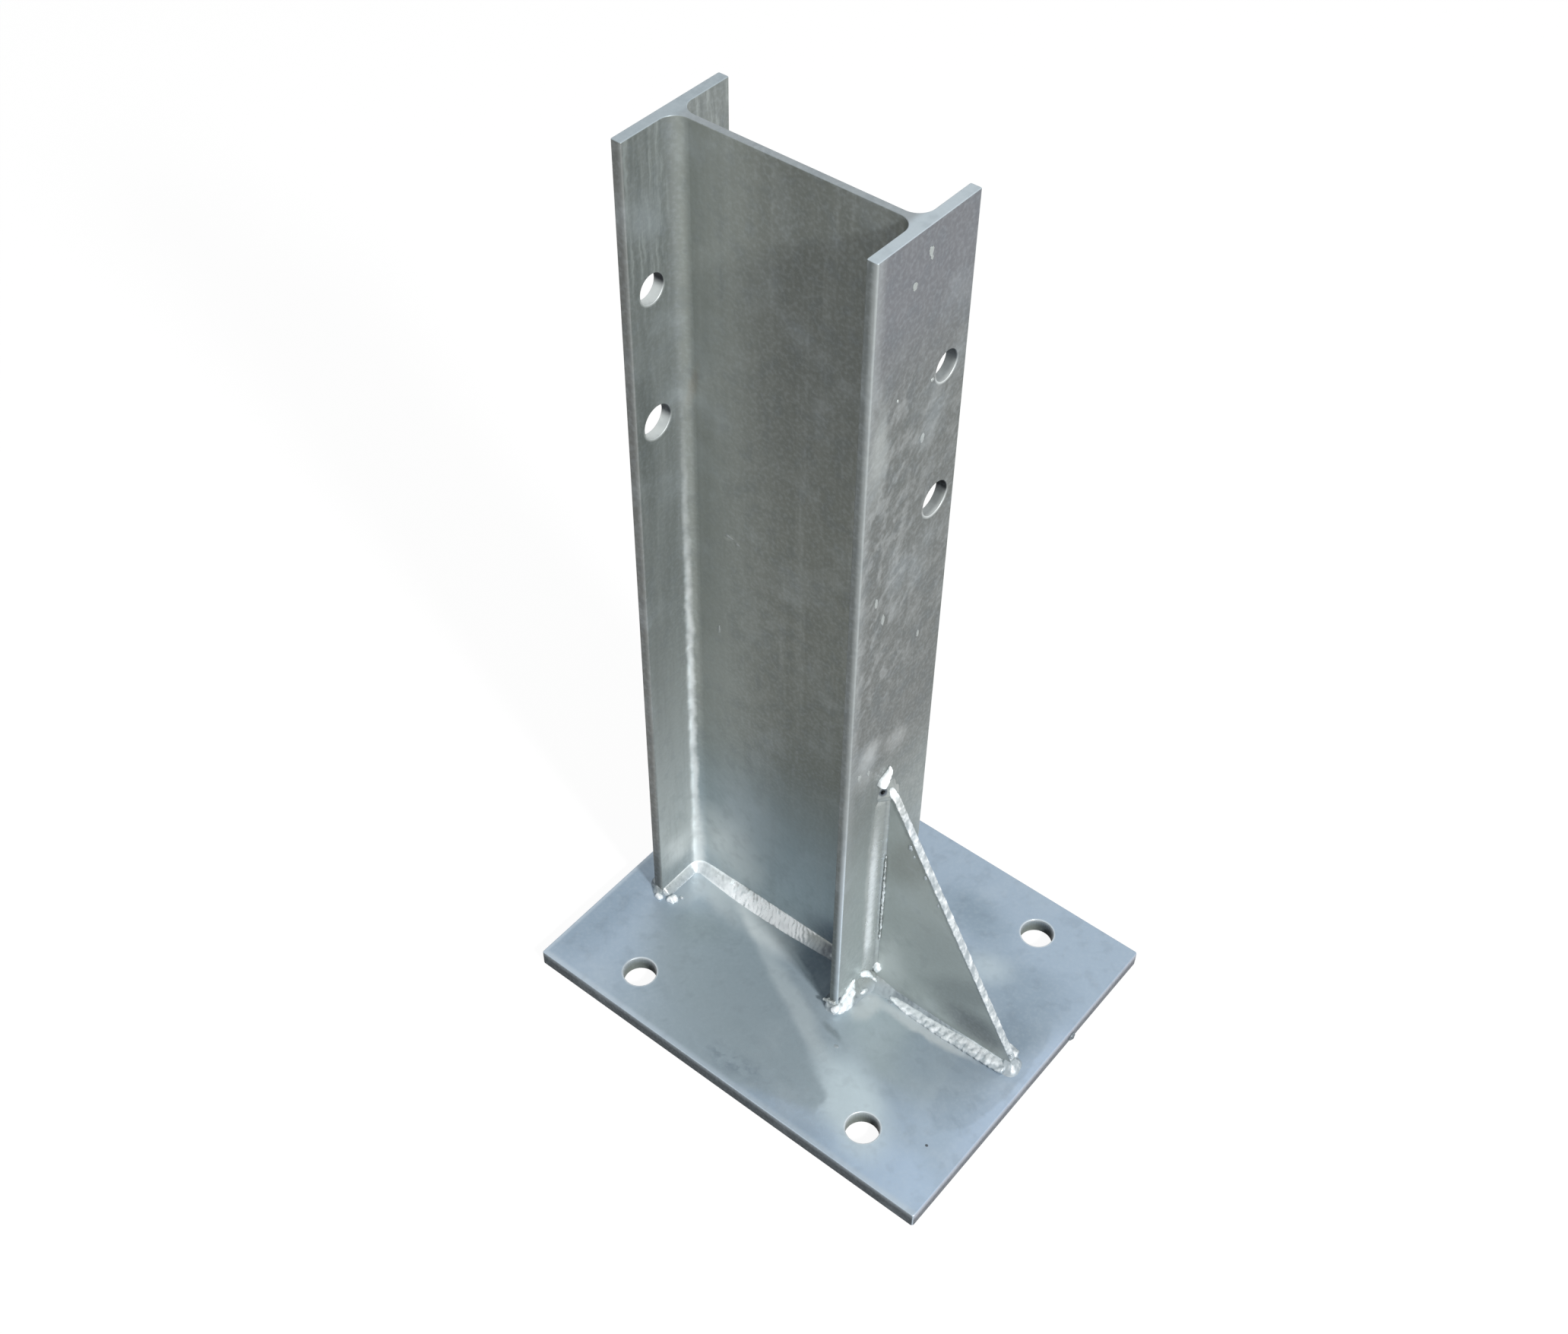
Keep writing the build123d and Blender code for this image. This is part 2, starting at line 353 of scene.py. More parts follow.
def plate_colour(place):
    """Blue grey, washed with other greys, with a painted reflection of the post, a painted shadow of the
    stiffener's flange and painted thrown light beside it, pale painted highlights on the edges and hole rims, and
    painted shade on the hole walls and rim faces. The hole walls and rim faces are dull."""
    loose, edge = wavy(place, 40, 9), wavy(place, 12, 3)
    x, y, z = axes(place)
    colour = stains((158, 176, 193), on_top((
        (loose, (157, 170, 176), (-10, -62), (165, 92), 0, 0.62, 0.75),
        (loose, (141, 160, 177), (-190, -90), (40, 88), 0, 0.4, 0.85),
        (loose, (170, 190, 211), (150, -140), (76, 34), 0, 0.4, 0.8),
        (loose, (168, 186, 206), (190, -20), (22, 120), 0, 0.3, 0.8),
        (loose, (158, 172, 176), (105, -42), (78, 44), 0, 0.5, 0.75),
        # painted light: the next two stains stand for sunlight thrown onto the plate off the web and the flanges
        (loose, (188, 200, 205), (-4, -62), (122, 14), -25, 0.3, 0.75),
        (edge, (214, 222, 224), (-88, -21), (84, 21), -6, 0.4, 0.9),
        (loose, (198, 213, 220), (97, -112), (70, 37), -30, 0.3, 0.95),
        (loose, (148, 163, 175), (134, -12), (56, 90), 0, 0.4, 0.75),
        (edge, (140, 156, 170), (164, -8), (27, 84), 0, 0.88, 0.5),
        (loose, (120, 138, 153), (160, 28), (32, 44), 0, 0.3, 0.7),
        (loose, (140, 158, 175), (150, 66), (52, 46), 20, 0.3, 0.6),
        (loose, (134, 152, 166), (122, 62), (76, 44), 0, 0.3, 0.45),
        (edge, (182, 197, 205), (105, 65), (34, 25), 15, 0.1, 0.7),
        (loose, (128, 147, 162), (62, 106), (58, 32), -10, 0.1, 0.75),
    )))

    # painted reflection of the post: a dull lens on the plate in front of it
    lens = product(ahead(edge, (0, -74), 150.6, 9), ahead(edge, (72, -137), 18.7, 12),
                   ahead(edge, (79, 0), 90, 5), fade(x, -165, -60, 0, 0.85))
    colour = tint(lens, colour, (151, 166, 174))
    # painted shadow of the stiffener's flange, cast by the sun onto the plate beside the web's bead
    shade = product(ahead(edge, (-5, -35), -27, 4), fade(y, -8, 0, 0.6, 0),
                    between(x, -50, -12, 22, 28))
    colour = tint(shade, colour, (78, 92, 107))
    colour = stains(colour, on_top((
        (loose, (136, 150, 154), (-112, -56), (40, 26), 10, 0.2, 0.45),
        (loose, (184, 193, 197), (-142, -30), (18, 26), 0, 0.3, 0.6),
        (edge, (202, 209, 211), (100, -18), (68, 8), 3, 0.4, 0.8),
        (edge, (192, 198, 198), (50, -30), (15, 22), 0, 0.4, 0.7),
        (edge, (112, 124, 128), (43, -67), (17, 5), -12, 0.2, 0.6),
    )))
    mottling = soft_step(clouds(wavy(place, 9, 5), (12, 8, 12), 3, 0.55, (0, 0, 20)), 0.38, 0.68)
    mottled = stain(loose, colour, (112, 126, 139), (4, -141, PLATE_TOP), (46, 15, 40), (0, 0, 8), 0.1, 0.7)
    colour = tint(mottling, colour, mottled)
    colour = stain(place, colour, (58, 60, 64), (166, -103.4, PLATE_TOP), (1.7, 1.5, 5), 0, 0.5, 0.95)

    # painted highlight along the rounded front and left edges of the plate's top
    rim = sum_of("MAXIMUM", fade(y, -158, -153, 1, 0), fade(x, -193.5, -190, 1, 0))
    colour = tint(product(rim, 0.75), colour, (184, 198, 210))
    dull = 0
    for hole_x in (-ANCHOR_X, ANCHOR_X):
        for hole_y in (-ANCHOR_Y, ANCHOR_Y):
            # painted highlight in a pale ring round each hole, and painted shade on its wall, darkest on the east
            # side
            rim_size, wall_size = (ANCHOR_RADIUS + 2,) * 2 + (6,), (ANCHOR_RADIUS + 0.7,) * 2 + (60,)
            colour = stain(place, colour, (212, 220, 224), (hole_x, hole_y, PLATE_TOP), rim_size, 0, 0.9, 0.7)
            hole = measured_from(place, (hole_x, hole_y, 0), wall_size)
            wall = soft_step(length_of(hole), 0.95, 1, 1, 0)
            east = soft_step(axes(hole)[0], -0.95, 0.2)
            colour = tint(wall, colour, tint(east, (122, 129, 124), (44, 49, 50)))
            dull = sum_of("MAXIMUM", dull, wall)
    # painted shade on the front and right rim faces, darker towards the floor, and lighter at their top edge
    front = fade(y, PLATE_FRONT + 0.2, PLATE_FRONT + 0.8, 1, 0)
    side = fade(x, PLATE_RIGHT - 0.8, PLATE_RIGHT - 0.2)
    colour = tint(front, colour, tint(fade(z, 9, 15), (77, 83, 87), (127, 135, 141)))
    colour = tint(side, colour, tint(fade(z, 7, 14), (102, 106, 112), (163, 169, 180)))
    return colour, sum_of("MAXIMUM", dull, sum_of("MAXIMUM", front, side))


plate_zinc = zinc("plate_zinc", plate_colour, rough=(0.28, 0.42), wave=0.18)
dress("base_plate", plate_zinc)

# %% [markdown]
# ## The section
# A rolled section keeps its mill surface under the zinc: straight streaks along its length. Its corners, the
# edges of its flanges and the plain flange's root are painted brighter as highlights. The web stands in the
# shadow of the stiffener's flange, painted in as a warm, darker colour, and its foot is painted pale and bluish
# for light thrown up by the plate. The bolt holes have painted shade and light on their walls. On the outer
# flange the zinc froze in small worm-like marks that run across it at a slant. That pattern is a noise stretched
# along one direction and turned, pale where it is high and dark where it is low. The streaks and the long drips
# inside the plain flange are made the same way.

# %% Section colours
def section_colour(place):
    """Grey, with the web painted darker in the flange's shadow and pale at its foot as thrown light, a worm-like
    pattern on the outer flange, corners painted pale as highlights, painted shade and light in the bolt holes and
    on the flange ends, and bluish sawn ends.
    """
    loose, edge = wavy(place, 40, 9), wavy(place, 12, 3)
    x, y, z = axes(place)
    colour = (121, 127, 125)

    left = fade(x, -152, -146, 1, 0)
    colour = tint(product(left, fade(z, 60, 385, 0.85, 0)), colour, (186, 193, 192))
    colour = tint(product(left, fade(z, 28, 58, 0.85, 0)), colour, (142, 152, 155))

    web = product(fade(sum_of("ABSOLUTE", y), 3.5, 13, 1, 0), between(x, -157, -150, 20, 27))
    # painted shadow of the stiffener's flange on the web, darkest at its top; the pale bluish foot is painted light
    shade_side = fade(x, -125, -50)
    web_colour = tint(shade_side, (137, 143, 138), (108, 113, 106))
    web_colour = tint(product(shade_side, fade(z, 420, 620, 0, 0.7)), web_colour, (94, 99, 95))
    web_colour = tint(fade(z, 50, 240, 0.95, 0), web_colour, (158, 175, 182))
    colour = tint(web, colour, web_colour)
    colour = flecks(colour, clouds(place, (9, 9, 300), 3, 0.6), 1,
                    ((166, 172, 170), 0.5, 0.8, 0, 0.16), ((98, 104, 102), 0.2, 0.5, 0.16, 0))

    outer = tint(fade(z, 130, 340), (158, 167, 166), (95, 99, 97))
    outer = tint(fade(z, 600, 720, 0, 0.7), outer, (106, 108, 115))
    # painted highlight along the flange's rounded near edge
    outer = tint(fade(y, -50, -38, 0.5, 0), outer, (154, 159, 160))
    worm_zone = product(between(z, 300, 420, 630, 680), fade(y, -20, 30, 1, 0.45))
    outer = flecks(outer, clouds(wavy(place, 14, 7), (9, 9, 17), 2.5, 0.5, (-38, 0, 0)), worm_zone,
                   ((156, 160, 160), 0.45, 0.66, 0, 0.44), ((84, 90, 88), 0.3, 0.46, 0.3, 0))
    colour = tint(fade(x, 33, 34.5), colour, outer)
    ragged = wavy(place, 9, 8)
    colour = stains(colour, (
        (ragged, (162, 165, 164), (35, -26, 316), (20, 20, 19), (-30, 0, 0), 0, 0.8),
        (ragged, (158, 161, 160), (35, 6, 306), (20, 22, 17), (-40, 0, 0), 0, 0.75),
        (loose, (152, 157, 156), (35, -38, 600), (12, 13, 56), 0, 0.2, 0.8),
        (loose, (158, 162, 162), (35, -34, 300), (12, 14, 30), 0, 0.2, 0.5),
        (loose, (128, 135, 134), (35, 38, 170), (12, 18, 130), 0, 0.3, 0.6),
        (edge, (196, 201, 200), (35, -16, 145), (8, 7, 130), 0, 0.2, 0.6),
        # painted light: the web's left part lighter, most at its foot, for light thrown up by the plate
        (loose, (236, 240, 236), (-119, -3, 66), (52, 8, 68), 0, 0.1, 0.8),
        (loose, (178, 188, 190), (-104, -3, 100), (66, 8, 110), 0, 0.1, 0.6),
        (loose, (158, 164, 160), (-134, -3, 262), (34, 8, 130), 0, 0.1, 0.5),
        # painted shade at the foot of the web's shaded side
        (loose, (80, 94, 112), (4, -3, 30), (52, 8, 44), 0, 0.1, 0.75),
        (edge, (158, 164, 159), (-116, -3, 421), (8, 6, 3.5), (0, -30, 0), 0.2, 0.7),
        (edge, (150, 156, 152), (-126, -3, 322), (3.5, 6, 10), 0, 0.2, 0.6),
        (edge, (140, 134, 118), (-146, -3, 545), (5, 8, 30), (0, 12, 0), 0.2, 0.4),
        (loose, (222, 227, 226), (-156.5, -28, 60), (10, 26, 26), 0, 0.1, 0.6),
        (loose, (96, 103, 101), (-156.5, -40, 520), (9, 13, 110), 0, 0.2, 0.6),
        # painted highlight down the plain flange's root, widening at its foot
        (edge, (226, 231, 230), (-154, -6.5, 150), (5, 5, 420), 0, 0.1, 0.9),
        (edge, (238, 242, 240), (-152, -5.5, 40), (9, 9, 70), 0, 0.2, 0.9),
    ))
    inside = product(between(x, -160, -158, -157, -155), fade(z, 590, 650, 0.25, 1))
    colour = flecks(colour, clouds(edge, (9, 4, 50), 2, 0.5), inside,
                    ((172, 180, 178), 0.5, 0.68, 0, 0.4), ((84, 92, 90), 0.34, 0.48, 0.35, 0))

    # painted light and shade across the flanges' end faces, darker on one side and lighter on the other
    lit_end = tint(fade(z, 150, 300, 1, 0), (158, 164, 164), (196, 206, 212))
    right_end = tint(fade(x, 29.5, 34.5), (94, 100, 99), lit_end)
    left_end = tint(fade(x, -160.5, -156.8), (96, 99, 97), (126, 130, 128))
    ends = tint(fade(x, -100, 0), left_end, right_end)
    colour = tint(fade(y, 0.6 - FLANGE_TIP, 1.4 - FLANGE_TIP, 1, 0), colour, ends)

    dull = 0
    # painted shade on each hole's upper wall, painted light on its lower wall, a painted highlight on its lower rim
    for flange_x, hole_y, low_wall in ((-161, -BOLT_Y, (206, 212, 211)), (31, BOLT_Y, (146, 151, 151))):
        for hole_z, radius in BOLT_HOLES:
            hole = measured_from(place, (flange_x, hole_y, hole_z), (100, radius + 0.5, radius + 0.5))
            distance, height = length_of(hole), axes(hole)[2]
            wall = soft_step(distance, 0.98, 1, 1, 0)
            low_colour = tint(fade(x, 31, OUTER_RIGHT), low_wall, (200, 205, 204))
            wall_colour = tint(soft_step(height, -0.55, 0.1), low_colour, (52, 55, 58))
            rim = soft_step(distance, 1, 1.14, 0.6, 0)
            rim = product(rim, soft_step(height, -0.5, 0.3, 1, 0))
            colour = tint(wall, tint(rim, colour, (208, 214, 213)), wall_colour)
            dull = sum_of("MAXIMUM", dull, product(wall, soft_step(height, -0.5, 0.2)))
    sawn = tint(web, (176, 188, 195), (146, 154, 158))
    sawn = tint(fade(x, -157, -140, 0.7, 0), sawn, (150, 163, 170))
    return tint(fade(z, POST_TOP - 0.6, POST_TOP - 0.1), colour, sawn), dull


section_zinc = zinc("section_zinc", section_colour, rough=(0.36, 0.52), wave=0.3)
dress("h_post", section_zinc)

# %% [markdown]
# ## The stiffener
# The stiffener is flame-cut plate. Its near face is an even warm grey, darker towards the toe and paler in the
# corner by the flange.

# %% Stiffener colours
def stiffener_colour(place):
    """Warm grey, dark near the toe, pale in the corner by the flange and along the foot."""
    loose = wavy(place, 30, 6)
    return stains((164, 173, 171), (
        (loose, (104, 111, 113), (140, -3, 36), (52, 30, 30), (0, 10, 0), 0.2, 0.85),
        (loose, (126, 134, 134), (124, -3, 72), (26, 30, 60), (0, 58, 0), 0.2, 0.6),
        (loose, (140, 146, 142), (62, -3, 190), (30, 30, 60), (0, 30, 0), 0.2, 0.8),
        (loose, (204, 211, 209), (46, -3, 44), (34, 30, 60), 0, 0.1, 0.7),
        (loose, (150, 159, 158), (100, -3, 110), (40, 30, 46), (0, 58, 0), 0.2, 0.5),
    )), None


gusset_zinc = zinc("gusset_zinc", stiffener_colour, rough=(0.36, 0.5), wave=0.25)
dress("gusset", gusset_zinc)

# %% [markdown]
# ## Weld beads as surfaces
# A fillet weld is molten metal that froze in a corner, one small crescent after another. Sculpting each by hand
# would be slow, and a bump map stays flat at its edge, so every bead here is a true surface of two parameters:
# how far along its path, and how far up from the plate to the wall. The path gives a root point, an out direction
# and an up direction at each step. Ripples, swells and single drops push the surface out along its own normal.
# The back of each bead runs just inside the steel, so that the shell is closed and its toe meets the steel cleanly.

# %% Waves and closed shells
def waves(points, size, seed):
    """A rough swell near -1 to 1: the scaled sum of 24 sines in space, with seeded directions, phases and
    lengths."""
    draw = np.random.default_rng(seed)
    way = draw.normal(size=(24, 3))
    way *= (2 * np.pi / size * draw.uniform(0.7, 1.5, (24, 1))) / np.linalg.norm(way, axis=1, keepdims=True)
    phase = draw.uniform(0, 2 * np.pi, 24)
    return np.sin(points @ way.T + phase).sum(-1) / math.sqrt(24)


def unit(vectors):
    """The same directions, each of length 1."""
    return vectors / np.maximum(np.linalg.norm(vectors, axis=-1, keepdims=True), 1e-9)


def loop_faces(count, around, first):
    """Faces of a skin of count closed loops of around points, with a fan at each end, as rows of point
    numbers."""
    ring, step = np.arange(count - 1)[:, None] * around, np.arange(around)[None, :]
    beside = (step + 1) % around
    quads = np.stack([ring + step, ring + beside, ring + around + beside, ring + around + step], -1)
    start, end = count * around, count * around + 1
    last = (count - 1) * around
    step, beside = step.ravel(), beside.ravel()
    tail = np.stack([step, np.full(around, start), beside], -1)
    head = np.stack([last + beside, np.full(around, end), last + step], -1)
    return (quads.reshape(-1, 4) + first).tolist() + (tail + first).tolist() + (head + first).tolist()


def shells(name, skins, stands_for=None):
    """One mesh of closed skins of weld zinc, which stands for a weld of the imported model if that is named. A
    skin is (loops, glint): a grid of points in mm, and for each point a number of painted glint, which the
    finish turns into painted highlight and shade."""
    points, glints, faces = [], [], []
    for loops, glint in skins:
        first = sum(len(p) for p in points)
        count, around, _ = loops.shape
        points.append(np.concatenate([loops.reshape(-1, 3), loops[[0, -1]].mean(1)]))
        glints.append(np.concatenate([glint.ravel(), glint[[0, -1]].mean(1)]))
        faces += loop_faces(count, around, first)
    mesh = bpy.data.meshes.new(name)
    mesh.from_pydata((np.concatenate(points) * MM).tolist(), [], faces)
    note = mesh.attributes.new("glint", "FLOAT", "POINT")
    note.data.foreach_set("value", np.concatenate(glints).astype(np.float32))
    shell = bmesh.new()
    shell.from_mesh(mesh)
    bmesh.ops.recalc_face_normals(shell, faces=shell.faces)
    shell.to_mesh(mesh)
    shell.free()
    mesh.polygons.foreach_set("use_smooth", np.ones(len(mesh.polygons), bool))
    mesh.materials.append(weld_zinc)
    piece = bpy.data.objects.new(name, mesh)
    scene.collection.objects.link(piece)
    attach(piece, "root")
    if stands_for:
        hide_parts(stands_for)
    print(name, len(faces), "faces")


# %% [markdown]
# ## The finish of a bead
# The light and shade on the beads are painted: crests and raised drops go near white as painted highlights, and
# the hollows between the ripples go grey and pits black as painted shade. The surface functions note on every
# point how much it should glint, from -1 in a pit to 1 on a drop, and the finish reads that note and paints it
# into the colour. It could be guessed from the slope instead, but then flat parts of a drop would go dull.

# %% Bead zinc
SPECK = 0.2


def bead_colour(place):
    """Painted light and shade from each point's glint: black in a pinhole and grey in the hollows as painted
    shade, pale grey between, which is warmer up the flange, and near white as a painted highlight where the glint
    is high."""
    glint = add("ShaderNodeAttribute", tree=place.id_data, attribute_name="glint").outputs["Fac"]
    speck = sum_of("SUBTRACT", clouds(place, 3, 1), 0.5)
    glint = sum_of("ADD", glint, product(speck, SPECK))
    x, y, z = axes(place)
    warm = product(fade(z, PLATE_TOP, 24), fade(x, 46, 62, 1, 0))
    middle = tint(warm, (160, 170, 175), (155, 161, 159))
    colour = tint(soft_step(glint, -0.9, 0.1), (76, 84, 92), middle)
    pinhole = soft_step(glint, -1.7, -1.1, 1, 0)
    colour = tint(pinhole, colour, (14, 15, 17))
    return tint(soft_step(glint, 0.15, 0.95), colour, (248, 253, 255)), pinhole


weld_zinc = zinc("weld_zinc", bead_colour, rough=(0.26, 0.4), wave=NO_RELIEF)

# %% A bead along a path
SUNK = 0.35


def bead_skin(path, way, reach, rise, bright, ends, ripple, pitch, slant, rough, seed, blunt=0, drops=(),
              groove=None, toes=(0, 0), around=30, hollow=1.7, band=(0.5, 0.5), dim=None):
    """The skin of a fillet bead. A point is root + out * reach * cos(a)^h + up * rise * sin(a)^h for a from 0
    at the plate to 90 degrees at the wall, and h 2 gives a flat bead, more a hollow one. Reach and rise round
    off over the lengths in ends, the rise no lower than its share blunt. It is pushed along the normal by
    ripples, which are a rounded saw wave of the way gone plus slant * (share up)^2, strongest in the band
    (middle, width) of the share up, by two sizes of waves, and by drops (x, y, z, radius, height). The glint is
    painted light and shade: bright as a painted highlight in the band and on raised drops, dim beside the band
    (0.3 bright if not given), and lower as painted shade in the valleys, in a thin line at the wall and in
    dents, which go black. toes adds some along the lower and the upper edge. A groove (share up, width,
    depth, darkness) runs all along it, its darkness a painted shade."""
    taper = end_taper(way, *ends)
    reach, rise = taper * reach, (blunt + (1 - blunt) * taper) * rise
    root, out, up = path
    angle = np.linspace(0, np.pi / 2, around)
    low, high = np.cos(angle) ** hollow, np.sin(angle) ** hollow
    smooth = (root[:, None] + out[:, None] * (reach[:, None] * low - SUNK)[..., None]
              + up[:, None] * (rise[:, None] * high - SUNK)[..., None])
    normal = unit(np.cross(np.gradient(smooth, axis=0), np.gradient(smooth, axis=1)))
    facing = (out + up)[:, None]
    normal *= np.sign((normal * facing).sum(-1, keepdims=True) + 1e-12)
    steps = np.linalg.norm(np.diff(root + 0.5 * (out * reach[:, None]), axis=0), axis=1)
    way = np.concatenate([[0], np.cumsum(steps)])
    share = angle / (np.pi / 2)
    dim = 0.3 * np.asarray(bright) if dim is None else dim
    bright, dim, ripple, rough, low_toe, high_toe, band_at, band_wide = (
        np.broadcast_to(v, len(root))[:, None] for v in (bright, dim, ripple, rough, *toes, *band))
    middle = np.sin(np.pi * share) ** 0.7
    size = np.minimum(reach, rise)[:, None] / max(reach.max(), rise.max())
    drift = 1.3 * waves(smooth, 22, seed + 5) + 0.5 * waves(smooth, 7, seed + 6)
    turn = (way[:, None] + slant * share**2 + drift) / pitch
    saw = 1 - 2 * np.abs(np.sin(np.pi * turn)) ** 0.8  # -1 on a crest, 1 in the narrow valley
    swell = 0.6 * waves(smooth, 9, seed) + 0.4 * waves(smooth, 3.6, seed + 1)
    focus = np.exp(-(((share - band_at) / band_wide) ** 2))
    push = middle * size * (-ripple * saw * focus + rough * swell * (0.35 + 0.65 * focus))
    glint = dim + (bright - dim) * focus + 0.6 * rough * swell - 1.1 * ripple * saw * focus
    glint = glint - 0.3 * np.abs(2 * share - 1) ** 6 - 0.5 * share**16
    glint = glint + low_toe * np.exp(-(((share - 0.14) / 0.09) ** 2))
    glint = glint + high_toe * np.exp(-(((share - 0.86) / 0.09) ** 2))
    if groove:
        where, width, depth, dark = groove
        dip = np.exp(-(((share - where) / width) ** 2))
        push = push - depth * dip * size
        glint = glint - dark * dip
    for x, y, z, radius, height in drops:
        near = np.exp(-((np.linalg.norm(smooth - (x, y, z), axis=-1) / radius) ** 2) * 1.6)
        push = push + height * near
        glint = glint + np.where(height > 0, 0.7, -2.6) * near
    crown = smooth + normal * push[..., None]
    inside = (root - SUNK * 1.5 * (out + up))[:, None]
    loops = np.concatenate([crown, inside], axis=1)
    return loops, np.concatenate([glint, np.zeros((len(root), 1))], axis=1)


def end_taper(way, start, end, least=0.12):
    """1 along the run, and at each end the quarter circle by which it rounds off over that length, if any."""
    first = np.clip(way / start, 0, 1) if start else np.ones_like(way)
    last = np.clip((way[-1] - way) / end, 0, 1) if end else np.ones_like(way)
    return np.maximum(np.sqrt(1 - (1 - first) ** 2) * np.sqrt(1 - (1 - last) ** 2), least)


def bead(run, *skin, **looks):
    """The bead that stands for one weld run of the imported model."""
    shells(f"{run}_bead", [bead_skin(*skin, **looks)], f"{run}_weld")


def path_through(points, outs, up, step=0.45, swing=14):
    """A path through points in mm, with one out direction for each run, swinging round on the spot at each
    corner, and the way gone along it. A path is its root line, its out directions and its up directions."""
    roots, ways = [], []
    for k, out in enumerate(outs):
        start, end = np.array(points[k], float), np.array(points[k + 1], float)
        count = max(3, int(np.linalg.norm(end - start) / step))
        roots.append(start + (end - start) * np.linspace(0, 1, count)[:, None])
        ways.append(np.tile(np.array(out, float), (count, 1)))
        if k + 1 < len(outs):
            share = np.linspace(0, np.pi / 2, swing)[1:-1, None]
            roots.append(np.repeat(end[None], swing - 2, 0))
            ways.append(np.cos(share) * np.array(out, float) + np.sin(share) * np.array(outs[k + 1], float))
    root, out = np.concatenate(roots), np.concatenate(ways)
    length = np.linalg.norm(np.diff(root + 4 * out, axis=0), axis=1)
    return (root, out, np.tile(np.array(up, float), (len(root), 1))), np.concatenate([[0], np.cumsum(length)])


def along(way, *pairs):
    """A value that runs straight between the given (way, value) pairs."""
    return np.interp(way, [p[0] for p in pairs], [p[1] for p in pairs])


print("bead functions ready")

# %% [markdown]
# ## The foot welds in the channels
# Inside each channel one run goes down one flange, round the rolled root, along the web, round the other root and
# up the other flange. As a path that is three straight lines and two quarter circles, with the out direction
# always square to the wall. The run that shows starts smooth, sparkles with painted glints a third of the way
# along the web, goes into even slanted ripples, and is painted dark as shade where it runs into the shadow of
# the stiffener's flange.

# %% Channel path and runs
def channel_path(side, step=0.45):
    """The path along the wall inside one channel, side -1 near and 1 far, and the way gone along it."""
    turn = WEB_FACE + ROOT_RADIUS
    lines = []
    for x, across in ((INNER_LEFT, 1), (INNER_RIGHT, -1)):
        y = np.linspace(FLANGE_TIP, turn, int((FLANGE_TIP - turn) / step))
        wall = np.stack([np.full_like(y, x), y], -1), np.stack([np.full_like(y, across), 0 * y], -1)
        bend = np.linspace(0, np.pi / 2, int(ROOT_RADIUS * np.pi / 2 / step))
        away = np.stack([-across * np.cos(bend), -np.sin(bend)], -1)
        corner = np.array((x + across * ROOT_RADIUS, turn)) + ROOT_RADIUS * away
        lines.append((np.concatenate([wall[0], corner]), np.concatenate([wall[1], -away])))
    x = np.arange(INNER_LEFT + ROOT_RADIUS, INNER_RIGHT - ROOT_RADIUS, step)[1:]
    web = np.stack([x, np.full_like(x, WEB_FACE)], -1), np.tile((0, 1), (len(x), 1))
    flat = np.concatenate([lines[0][0], web[0], lines[1][0][::-1]])
    out = np.concatenate([lines[0][1], web[1], lines[1][1][::-1]])
    flip = np.array((1, side))
    root = np.column_stack([flat * flip, np.full(len(flat), PLATE_TOP)])
    way = np.concatenate([[0], np.cumsum(np.linalg.norm(np.diff(flat, axis=0), axis=1))])
    return (root, np.column_stack([out * flip, np.zeros(len(out))]), np.tile((0, 0, 1), (len(out), 1))), way


path, way = channel_path(-1)
reach = along(way, (0, 7), (35, 7.5), (54, 9.5), (80, 11.5), (100, 12.6), (128, 12.6), (155, 12), (178, 10.5),
              (205, 9), (267, 8.5))
rise = along(way, (0, 7), (35, 7.5), (60, 9), (100, 9.6), (160, 9.3), (205, 9), (267, 8))
# painted glint: sparkles and bright ripples along the web, painted dark as shade towards the stiffener's flange
bright = along(way, (0, 0.4), (34, 0.4), (46, 0.6), (58, 0.62), (80, 0.66), (86, 0.95), (100, 0.95), (106, 0.88),
               (148, 0.92), (156, 0.75), (164, 0.5), (173, 0.15), (182, -0.25), (191, -0.75), (267, -0.7))
dim = along(way, (0, 0.3), (46, 0.35), (84, 0.35), (106, 0.5), (150, 0.5), (164, 0.2), (182, -0.45), (191, -0.8),
            (267, -0.7))
ripple = along(way, (0, 0), (80, 0.04), (96, 0.14), (106, 0.34), (160, 0.34), (178, 0.16), (190, 0.06))
rough = along(way, (0, 0.02), (54, 0.06), (80, 0.2), (86, 0.65), (104, 0.6), (112, 0.35), (160, 0.3), (190, 0.1))
low_toe = along(way, (0, 0), (48, 0.15), (58, 0.5), (84, 0.5), (95, 0.15), (150, 0), (170, 0.1))
high_toe = along(way, (0, 0.3), (34, 0.4), (50, 0.5), (84, 0.3), (95, 0), (160, 0.2), (178, 0.7), (205, 0.8),
                 (230, 0))
drops = ((-113, -7, 22, 2.6, 1), (-106, -10, 20, 2.2, 0.5), (-100, -7.4, 21, 2.8, 1.1), (-93, -9, 20, 2, 0.6),
         (-62, -6.6, 22, 2, 0.5), (-2, -9.5, 18, 2.4, 0.8))
bead("near_channel", path, way, reach, rise, bright, ends=(4, 4), ripple=ripple, pitch=4.3, slant=9, rough=rough,
     seed=11, drops=drops, toes=(low_toe, high_toe), dim=dim)

path, way = channel_path(1)
swell = 0.6 * np.sin(way / 31)
bead("far_channel", path, way, 9.8 + swell, 8.9 + 0.5 * swell, 0.4 + 0.2 * np.sin(way / 17), ends=(4, 4),
     ripple=0.26, pitch=5.4, slant=7, rough=0.3, seed=23, drops=((-148, 46, 18, 3, 1.6), (20, 20, 20, 3, 1)))

